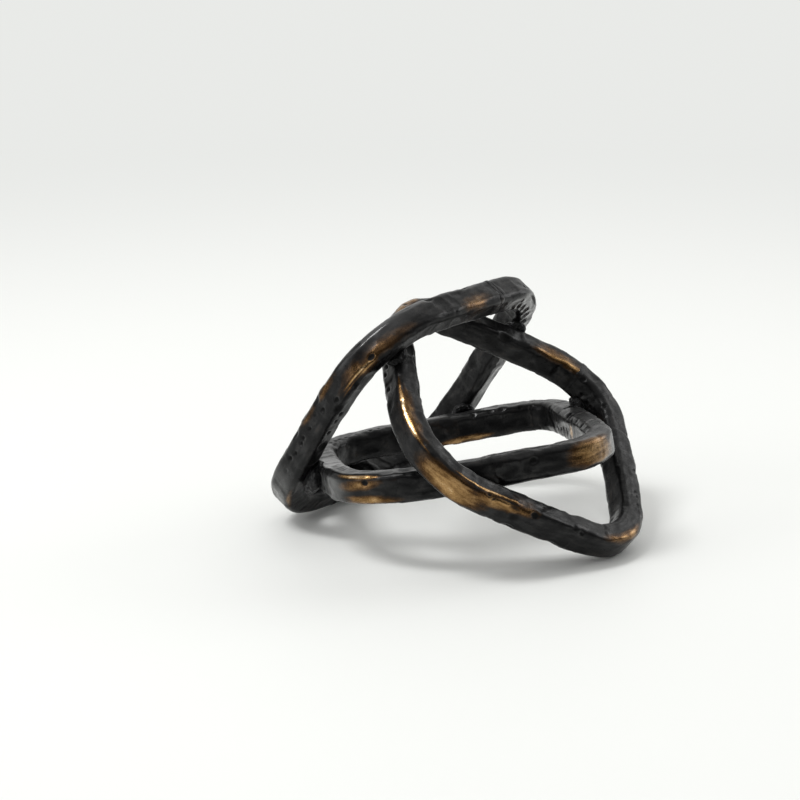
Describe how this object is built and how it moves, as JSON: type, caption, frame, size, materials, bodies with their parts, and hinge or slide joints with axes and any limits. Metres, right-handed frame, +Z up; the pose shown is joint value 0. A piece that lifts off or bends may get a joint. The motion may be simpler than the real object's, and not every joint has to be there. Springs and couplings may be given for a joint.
{
  "type": "metal knot sculpture",
  "caption": "Tabletop ornament of welded loops bent from hammered square bar, leaning through one another like a loose knot, dark with bronze rubbed through.",
  "frame": {"origin": "on the table, under the middle of the whole knot's bounding box", "axes": "+X to the right in the picture, +Y away from the viewer, +Z up from the table"},
  "size_m": [0.2479, 0.2408, 0.163],
  "materials": {
    "bar": "satin",
    "weld": "satin"
  },
  "bodies": {
    "root": {"left_loop": "bar", "right_loop": "bar", "middle_loop": "bar", "left_loop_closing_weld": "weld", "right_loop_closing_weld": "weld", "middle_loop_closing_weld": "weld", "top_left_weld": "weld", "top_right_weld": "weld", "left_end_weld": "weld", "back_weld": "weld", "low_weld": "weld", "right_end_weld": "weld", "front_weld": "weld"}
  },
  "joints": []
}
